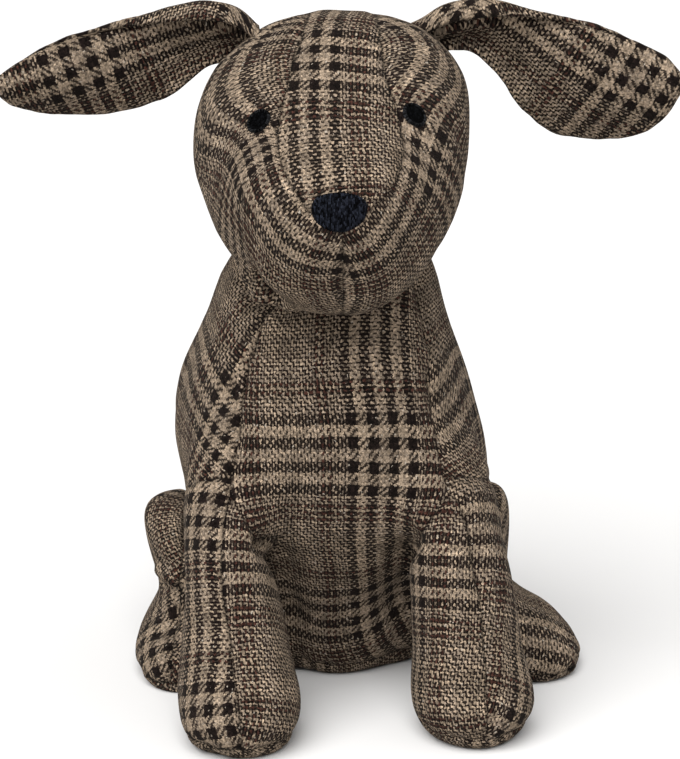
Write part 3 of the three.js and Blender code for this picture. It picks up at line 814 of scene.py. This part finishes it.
# Height, and x of the seam between the two panels of the right leg, mirrored for the left one.
HIND_SEAM = np.array([[0, 66], [40, 62], [80, 58]])
HIND_SOLE_Z = 4
HIND_MIDDLE, HIND_SOLE = range(3, 5)
PANEL_LEFT, PANEL_RIGHT, PANEL_SOLE = range(3)
for side, name, marks in (
    (-1, "left", [
        (-68, -51, 18, 21, 21), (-69, -44, 21, 21, 15), (-64, -40, 27, 27, 3),
        (-74, -53, 9, 9, 33),
    ]),
    (1, "right", [
        (72, -27, 25, 56, 3), (89, -20, 18, 82, 3), (72, -41, 21, 56, 15), (92, -37, 13, 88, 15),
        (74, -48, 13, 60, 27), (94, -43, 6, 90, 27),
    ]),
):
    leg = one_skin("hind_leg_skin_" + name, ["hind_leg_" + name], grow=0.3)
    eased(leg, rounds=2)
    points, _ = surface_of(leg.data)
    filled(leg, held=points[:, 2] < 6, cap=3.0)
    points, faces = taken(finer(leg))
    points[:, 2] = np.maximum(points[:, 2], 0)
    x, y, z = points.T
    table = np.column_stack([points, x - side * np.interp(z, *HIND_SEAM.T), z - HIND_SOLE_Z])
    for level in (HIND_MIDDLE, HIND_SOLE):
        table, faces = cut_along(table, faces, level, np.ones(len(faces), dtype=bool))
    middle = mean_of(table, faces)
    panel = np.where(middle[:, HIND_MIDDLE] < 0, PANEL_LEFT, PANEL_RIGHT)
    panel[middle[:, HIND_SOLE] < 0] = PANEL_SOLE
    points, far = sewn(table, faces, panel, depth=0.9, width=2.6, seed=40)
    points += lumps(points, 47 + side, size=24, high=0.4)[:, None] * normals_of(points, faces)
    if side < 0:
        points = pressed(points, faces, [
            (-72, -21, 39, -62, -36, 41, -1.6, 2.6),
            (-70, -25, 34, -63, -37, 36, 2.2, 2.2),
            (-71, -27, 45, -63, -36, 46, 1.6, 2),
            (-69, -43, 21, -61, -39, 30, 2.2, 4),
        ])
    points[:, 2] = np.maximum(points[:, 2], 0)
    x, y, z = points.mean(axis=0)
    plain = [(x - 5, y, z, 60, 60), (x + 5, y, z, 76, 60)]
    outer, inner = (PANEL_LEFT, PANEL_RIGHT)[::-side]
    leg = finished("hind_leg_skin_" + name, points, faces, panel, far, {
        outer: marks, inner: plain, PANEL_SOLE: plain,
    })
    leg.data.materials.append(check)
    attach(leg, "root")
    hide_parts("hind_leg_" + name)

# Ears
# Each ear is two layers of the cloth sewn together round the edge and turned out, with a thin
# filling. Its top edge rolls forwards, tightly where it is caught in the side of the crown.

# x, lower edge, top, y, how far the lower edge hangs back, how far the flap bows back, and the
# radius of the roll.
EAR_LEFT = [
    [-28, 248.4, 260.9, -38, 0, 3, 6], [-38, 248.4, 268.4, -37, 0, 5, 6.5],
    [-48, 245.9, 270.1, -36, 1, 6, 6.5], [-60, 236.4, 268.4, -36, 4, 4, 5.2],
    [-70, 231.2, 265.7, -37, 9, -1, 3.2], [-84, 226.9, 262.3, -38, 13, -4, 1.5],
    [-97, 226.1, 258.9, -39, 14, -6, 0.8], [-108, 226.8, 254.8, -40, 12, -6, 0.5],
    [-118, 229.3, 249.7, -41, 9, -4, 0.2], [-125, 233.1, 245.2, -41, 3, -2, 0.1],
    [-128.5, 237.2, 242, -41, 1, -0.5, 0.1], [-129.7, 239, 240.8, -41, 0.3, -0.2, 0.1],
]
EAR_RIGHT = [
    [28, 248, 260.9, -38, 0, 3, 6], [40, 252, 268.1, -37, 0, 5, 6.5],
    [52, 251.5, 270.9, -36, 1, 6, 6.5], [62, 242.6, 270.2, -36, 3, 5, 5.2],
    [72, 228.8, 268.3, -37, 8, 2, 3.2], [84, 219.2, 265.7, -38, 12, -2, 1.6],
    [96, 216.9, 262.8, -39, 14, -5, 0.9], [108, 217, 259, -40, 13, -5, 0.5],
    [118, 220.2, 254.9, -41, 8, -3, 0.2], [126, 227.5, 250.3, -41, 3, -2, 0.1],
    [131, 235.8, 245, -41, 1, -0.5, 0.1], [132.4, 239, 242, -41, 0.3, -0.2, 0.1],
]
# Thickness in mm, the turn of the roll, the steps across each layer, and the stations to a row.
EAR_THICK = 5.6
EAR_ROLL_TURN = 0.9 * np.pi
EAR_STEPS = 36
EAR_STATIONS = 8
# The seam round the edge lies flatter than the others, so its shade is kept this far in mm away.
EAR_SEAM_OFF = 0.6


def through(rows, steps):
    """Rows on a smooth curve through the given ones: each is a cubic blend of its four nearest."""
    rows = np.array(rows, dtype=float)
    wide = np.vstack([2 * rows[0] - rows[1], rows, 2 * rows[-1] - rows[-2]])
    run = np.linspace(0, len(rows) - 1, (len(rows) - 1) * steps + 1)
    first = np.minimum(run.astype(int), len(rows) - 2)
    part = (run - first)[:, None]
    a, b, c, d = (wide[first + k] for k in range(4))
    return b + part / 2 * (c - a + part * (2 * a - 5 * b + 4 * c - d + part * (3 * (b - c) + d - a)))


def ear_line(rows, share):
    """The middle of an ear's section at a share of its run from the lower edge: it rises forwards,
    bowed by a half sine, then turns forwards round the roll. Gives y, z and the run in mm."""
    _, low, high, y, hang, bow, roll = rows.T[:, :, None]
    roll = np.maximum(roll, 0.05)
    lift = high - low - roll
    run = share * (lift + roll * EAR_ROLL_TURN)
    turn = np.maximum(run - lift, 0) / roll
    up = np.minimum(run / lift, 1)
    back = y + hang * (1 - up) + bow * np.sin(np.pi * up) - roll * (1 - np.cos(turn))
    return back, low + np.minimum(run, lift) + roll * np.sin(turn), run


def ear_skin(rows):
    """A closed skin on a grid of stations along the ear and steps round its section: the middle line
    with half the thickness to either side, which falls to nothing as a root at both edges. Gives
    points, faces, their places on the flat cloth, their panels and the distance to the edge."""
    sides = 2 * EAR_STEPS
    step = np.arange(sides)
    front = step < EAR_STEPS
    share = np.where(front, step, sides - step) / EAR_STEPS
    y, z, run = ear_line(rows, share)
    y_next, z_next, _ = ear_line(rows, np.minimum(share + 0.01, 1))
    y_last, z_last, _ = ear_line(rows, np.maximum(share - 0.01, 0))
    length = np.hypot(y_next - y_last, z_next - z_last)
    thick = EAR_THICK / 2 * np.minimum(1, 0.1 + 1.6 * np.sqrt(share * (1 - share)))
    off = np.where(front, -thick, thick) / length
    x = np.repeat(rows[:, :1], sides, axis=1)
    rings = np.stack([x, y + off * (z_next - z_last), z - off * (y_next - y_last)], axis=2)
    points = np.vstack([rings.reshape(-1, 3), rings[0].mean(axis=0), rings[-1].mean(axis=0)])
    last = (len(rows) - 1) * sides
    a = np.arange(last).reshape(-1, sides)
    b = np.roll(a, -1, axis=1)
    quads = np.stack([a, b, b + sides, a, b + sides, a + sides], axis=2)
    following = np.roll(step, -1)
    root = np.full(sides, len(points) - 2)
    tip = root + 1
    faces = np.concatenate([
        quads.reshape(-1, 3), np.stack([root, following, step], axis=1),
        np.stack([tip, last + step, last + following], axis=1),
    ])
    face_front = np.concatenate([np.repeat(np.tile(front, len(rows) - 1), 2), front, front])
    across = np.append((rows[:, 1:2] + run).ravel(), [z[0].mean(), z[-1].mean()])
    along = np.append(x.ravel(), [x[0, 0], x[-1, 0]])
    flat = np.stack([along, across], axis=1)[faces]
    flat[~face_front, :, 0] *= -1
    edge = (np.minimum(share, 1 - share) * run.max(axis=1)[:, None]).ravel()
    # The tip's middle lies on the seam, and the root's well inside it.
    return points, faces, flat, np.where(face_front, 0, 1), np.append(edge, [5, 0])


for name, rows, marks, seed in (
    ("left", EAR_LEFT, [
        (-87, -39, 258, 15, 3), (-95, -39, 255, 15, 15), (-104, -40, 252, 15, 27),
        (-112, -41, 249, 15, 39), (-82, -38, 255, 21, -4), (-104, -39, 245, 21, 28),
        (-66, -37, 260, 21, -26),
    ], 61),
    ("right", EAR_RIGHT, [
        (111, -40, 238, 9, 18), (85, -37, 253, 9, -23), (123, -42, 243, 21, 29),
        (91, -39, 258, 21, -20), (67, -38, 266, 9, -49), (108, -40, 229, -4, 21),
    ], 71),
):
    points, faces, flat, panel, far = ear_skin(through(rows, EAR_STATIONS))
    if name == "right":
        faces = faces[:, ::-1]
        flat = flat[:, ::-1]
    out = normals_of(points, faces)
    # Soft lumps over the flap, and small puckers along its edge.
    high = np.clip(far / 4, 0, 1) * lumps(points, seed, size=22, high=0.5)
    points = points + high[:, None] * out
    high = np.exp(-((far / 3) ** 2)) * lumps(points, seed + 3, size=9, high=0.2)
    points = points + high[:, None] * out
    mesh = mesh_of("ear_skin_" + name, points, faces)
    mesh.shade_smooth()
    mesh.attributes.new("seam", "FLOAT", "POINT").data.foreach_set("value", far + EAR_SEAM_OFF)
    mesh.uv_layers.new(name="cloth").data.foreach_set("uv", flat.ravel())
    ear = shown("ear_skin_" + name, mesh)
    cut_cloth(ear, points, faces, panel, {0: marks, 1: marks})
    ear.data.materials.append(check)
    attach(ear, "root")
    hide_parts("ear_" + name)

# Nose and eyes
# Worked on the head in glossy thread over a little padding: the nose in upright satin stitches,
# each eye an oval of satin stitches inside a raised ring of short ones.
PATCH_RINGS = 24
PATCH_SPOKES = 96
# Where the raised ring has its top and its half width, and where its own stitches begin, as shares
# of the way out.
RING_TOP = 0.86
RING_WIDTH = 0.09
RING_STARTS = 0.74


def worked_patch(name, skin, out, place, wide, tall, lean, square, middle, high, rim):
    """A domed patch in rings and spokes. Its outline is an oval raised to a power, narrower towards
    its lower edge; it lies on a quadratic fitted to the skin round it, and its height over that is
    a low dome with a bell-shaped ring near the edge, closed down into the skin at the edge."""
    miss = np.hypot(skin[:, 0] - place[0], skin[:, 2] - place[1])
    miss = np.where(skin[:, 1] < FACE_Y, miss, np.inf)
    near = miss < max(wide, tall) * 0.62
    facing = out[near].mean(axis=0)
    facing /= np.linalg.norm(facing)
    right = np.cross([0, 0, 1], facing)
    right /= np.linalg.norm(right)
    up = np.cross(facing, right)
    centre = skin[miss < 3].mean(axis=0)
    local = skin[near] - centre

    def bowl(a, b):
        """The terms of a quadratic in two directions."""
        return np.stack([a * 0 + 1, a, b, a * a, a * b, b * b], axis=-1)

    a, b, h = local @ right, local @ up, local @ facing
    fit = np.linalg.lstsq(bowl(a, b), h, rcond=None)[0]
    ring = np.linspace(0, 1, PATCH_RINGS + 1)[:, None] ** 0.8
    spoke = np.linspace(0, 2 * np.pi, PATCH_SPOKES + 1)[None, :-1]
    ring, spoke = np.broadcast_arrays(ring, spoke)
    rise = np.sign(np.sin(spoke)) * abs(np.sin(spoke)) ** (2 / square)
    reach = np.sign(np.cos(spoke)) * abs(np.cos(spoke)) ** (2 / square)
    a = ring * wide / 2 * reach * (middle + (1 - middle) * rise)
    b = ring * tall / 2 * rise
    a, b = a * np.cos(lean) - b * np.sin(lean), a * np.sin(lean) + b * np.cos(lean)
    dome = high * (1 - 0.25 * ring**2) + rim * np.exp(-(((ring - RING_TOP) / RING_WIDTH) ** 2))
    dome = dome * np.sqrt(np.clip((1 - ring) / 0.1, 0, 1)) - 0.3 * (ring > 0.999)
    grid = centre + a[..., None] * right + b[..., None] * up
    grid = grid + (bowl(a, b) @ fit + dome)[..., None] * facing
    # The first ring is a single point, so its quads are a fan of triangles round it.
    first = np.arange(PATCH_RINGS * PATCH_SPOKES).reshape(PATCH_RINGS, PATCH_SPOKES)
    second = np.roll(first, -1, axis=1)
    beyond, next_beyond = first + PATCH_SPOKES, second + PATCH_SPOKES
    faces = np.stack([first, beyond, next_beyond, first, next_beyond, second], axis=2)[1:]
    fan = np.stack([first[0] * 0, beyond[0], next_beyond[0]], axis=1)
    faces = np.concatenate([faces.reshape(-1, 3), fan])
    used, faces = np.unique(faces, return_inverse=True)
    faces = faces.reshape(-1, 3)
    points = grid.reshape(-1, 3)[used]
    flat = np.stack([a, b], axis=2).reshape(-1, 2)[used][faces]
    outer = ring.ravel()[used][faces].mean(axis=1) > (RING_STARTS if rim > 0 else 1)
    # The ring's stitches lie across it: one direction runs round it and the other outwards.
    radius = (wide + tall) / 4
    ringed = np.stack([spoke * radius, ring * wide / 2], axis=2).reshape(-1, 2)[used][faces[outer]]
    way = ringed[:, :, 0]
    wraps = way.max(axis=1) - way.min(axis=1) > wide
    way[wraps] += np.where(way[wraps] < wide / 2, 2 * np.pi * radius, 0)
    flat[outer] = ringed
    mesh = mesh_of(name, points, faces)
    mesh.shade_smooth()
    mesh.uv_layers.new(name="stitch").data.foreach_set("uv", (flat / 1000).ravel())
    mesh.polygons.foreach_set("material_index", outer.astype(np.int32))
    return shown(name, mesh)


# Width of a stitch's thread and the length of its run in mm. The real thread is about 0.3 mm, too
# fine to show, so it is drawn this much coarser.
STITCH = 0.5
STITCH_RUN = 1.1


def satin(name, deep, glint_colour):
    """Rayon embroidery thread laid side by side. The eye gets fine ribs in short runs, each with a
    highlight of random strength painted into its colour between a deep and a bright colour, where the
    thread turns over to the light."""
    made = bpy.data.materials.new(name)
    made.use_nodes = True
    tree = made.node_tree
    tree.nodes.clear()
    lay = add(tree, "ShaderNodeUVMap", uv_map="stitch")
    lay = add(tree, "ShaderNodeVectorMath", {0: lay, "Scale": 1000.0}, operation="SCALE")
    lay = add(tree, "ShaderNodeSeparateXYZ", {0: lay})
    rib = add(tree, "ShaderNodeTexNoise", {"W": lay.outputs[1], "Scale": 0.35}, noise_dimensions="1D")
    rib = add(tree, MATH, {0: rib, 1: 0.8, 2: lay.outputs[0]}, operation="MULTIPLY_ADD")
    rib = add(tree, MATH, {0: rib, 1: 1 / STITCH}, operation="MULTIPLY")
    rib_number = add(tree, MATH, {0: rib}, operation="FLOOR")
    start = add(tree, "ShaderNodeTexWhiteNoise", {"W": rib_number}, noise_dimensions="1D")
    run = add(tree, MATH, {0: lay.outputs[1], 1: 1 / STITCH_RUN, 2: start}, operation="MULTIPLY_ADD")
    run_number = add(tree, MATH, {0: run}, operation="FLOOR")
    cell = add(tree, "ShaderNodeCombineXYZ", {0: rib_number, 1: run_number})
    # Painted highlight: each run of the thread gets a random glint, mostly faint, mixed into its
    # colour.
    painted_glint = add(tree, "ShaderNodeTexWhiteNoise", {"Vector": cell}, noise_dimensions="2D")
    painted_glint = add(tree, MATH, {0: painted_glint, 1: 2.0}, operation="POWER")
    shade = add(tree, MIX, {0: painted_glint, 6: linear(deep), 7: linear(glint_colour)}, data_type="RGBA")
    rib_part = add(tree, MATH, {0: rib}, operation="FRACT")
    rib_part = add(tree, MATH, {0: rib_part, 1: np.pi}, operation="MULTIPLY")
    rib_part = add(tree, MATH, {0: rib_part}, operation="SINE")
    run_part = add(tree, MATH, {0: run}, operation="FRACT")
    run_part = add(tree, "ShaderNodeMapRange", {0: run_part, 1: 0.0, 2: 0.2, 3: -0.8, 4: 0.0})
    height = add(tree, MATH, {0: rib_part, 1: run_part}, operation="ADD")
    raised = add(tree, "ShaderNodeBump", {"Strength": 1.0, "Distance": 0.0003, "Height": height})
    shader = add(tree, "ShaderNodeBsdfPrincipled", {
        "Base Color": shade.outputs[2], "Roughness": 0.42, "Normal": raised,
        "Specular IOR Level": 0.02,
    })
    add(tree, "ShaderNodeOutputMaterial", {0: shader})
    return made


# Blue-black for the nose with painted highlights of a cold dark grey, plain black for the eyes with
# faint painted highlights, and for their rings black with paler grey painted highlights, which let
# them stand out as a thin paler line.
satin_nose = satin("blue-black satin stitch", "#020203", "#252831")
satin_eye = satin("black satin stitch", "#010101", "#0b0c0e")
satin_ring = satin("black satin stitch, painted highlight", "#050505", "#2d2e30")
skin, head_faces = surface_of(head.data)
out = normals_of(skin, head_faces)
# Place (x and z), width, height, lean, squareness, width at half height, padding and rim.
for name, *shape in (
    ("eye_left", (-27.4, 235.2), 8.9, 10.2, -0.5, 2.0, 1.0, 0.6, 0.8),
    ("eye_right", (29.2, 237.4), 8.9, 10.2, 0.5, 2.0, 1.0, 0.6, 0.8),
    ("nose", (1.9, 209.6), 23, 14.2, 0, 2.3, 0.86, 1.5, 0),
):
    made = worked_patch(name + "_stitched", skin, out, *shape)
    if name == "nose":
        made.data.materials.append(satin_nose)
    else:
        made.data.materials.append(satin_eye)
        made.data.materials.append(satin_ring)
    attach(made, "root")
    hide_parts(name)

# Floor
# A pale, plain studio floor of matt paint, wide enough that no view meets its edge.
FLOOR_REACH = 12000
corners = FLOOR_REACH * np.array([[-1, -1, 0], [1, -1, 0], [1, 1, 0], [-1, 1, 0]])
floor = shown("floor", mesh_of("floor", corners, np.array([[0, 1, 2, 3]])))
pale = bpy.data.materials.new("pale matt floor paint")
pale.use_nodes = True
pale.node_tree.nodes["Principled BSDF"].inputs["Base Color"].default_value = linear("#c8c7c6")
pale.node_tree.nodes["Principled BSDF"].inputs["Roughness"].default_value = 0.9
floor.data.materials.append(pale)

# Light and camera
# Two broad soft lamps from above, the stronger one in front on the left, in a dim white room.
world = bpy.data.worlds.new("dim white room")
bpy.context.scene.world = world
world.use_nodes = True
world.node_tree.nodes["Background"].inputs["Color"].default_value = linear("#ffffff")
world.node_tree.nodes["Background"].inputs["Strength"].default_value = 0.4
for name, turn, spread, strength in (
    ("key", (np.radians(40), 0, np.radians(-25)), 60, 5.3),
    ("fill", (np.radians(45), 0, np.radians(40)), 90, 1.2),
):
    light = bpy.data.lights.new(name, "SUN")
    light.angle = np.radians(spread)
    light.energy = strength
    made = bpy.data.objects.new(name, light)
    made.rotation_euler = turn
    bpy.context.scene.collection.objects.link(made)

# The camera looks down on the dog's front. Its focal length is counted in the picture's pixels.
FOCAL_PIXELS = 3058.51
PICTURE_HEIGHT = 759
view = bpy.data.cameras.new("camera")
view.sensor_width = 36
view.lens = view.sensor_width * FOCAL_PIXELS / PICTURE_HEIGHT
camera = bpy.data.objects.new("camera", view)
camera.location = (0.002, -1.19181, 0.43264)
camera.rotation_euler = (np.radians(75), 0, 0)
bpy.context.scene.collection.objects.link(camera)
bpy.context.scene.camera = camera
bpy.context.scene.view_settings.view_transform = "Standard"
